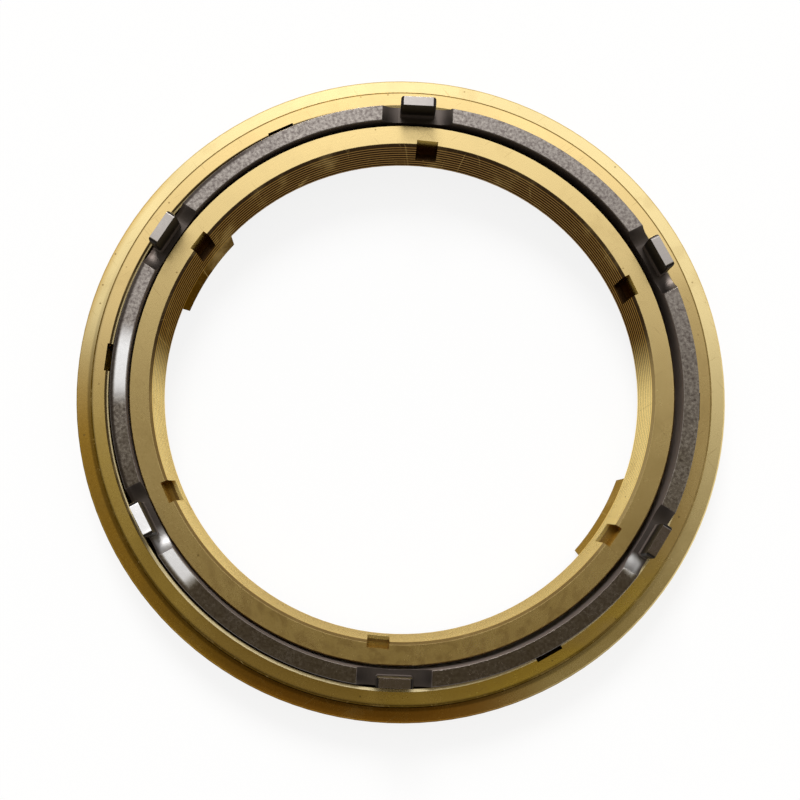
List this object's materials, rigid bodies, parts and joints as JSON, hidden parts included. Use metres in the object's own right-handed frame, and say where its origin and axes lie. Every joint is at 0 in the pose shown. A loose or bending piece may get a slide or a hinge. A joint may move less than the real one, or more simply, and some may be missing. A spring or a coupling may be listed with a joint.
{
  "type": "synchronizer ring",
  "caption": "Nested synchronizer ring set: a flanged brass outer ring, a lugged steel cone ring and a grooved brass inner ring that slip on each other's friction cones.",
  "frame": {"origin": "on the axis of the outer ring, at the hub-side face that the set stands on", "axes": "+Z along the axis towards the gear side, where the drive lugs stand up; +X and +Y lie in the hub-side face"},
  "size_m": [0.166, 0.166, 0.023],
  "materials": {
    "outer_brass": "satin turned brass",
    "steel": "matt phosphated steel with bright worn spots",
    "inner_brass": "satin turned brass"
  },
  "bodies": {
    "outer_ring": {"outer_ring": "outer_brass"},
    "cone_ring": {"cone_ring": "steel"},
    "inner_ring": {"inner_ring": "inner_brass"}
  },
  "joints": [
    {"name": "cone_ring_spin", "type": "hinge", "parent": "outer_ring", "child": "cone_ring", "pos_m": [0.0007, 0, 0], "axis": [0, 0, 1], "continuous": true},
    {"name": "inner_ring_spin", "type": "hinge", "parent": "outer_ring", "child": "inner_ring", "pos_m": [0, 0, 0], "axis": [0, 0, 1], "continuous": true}
  ]
}
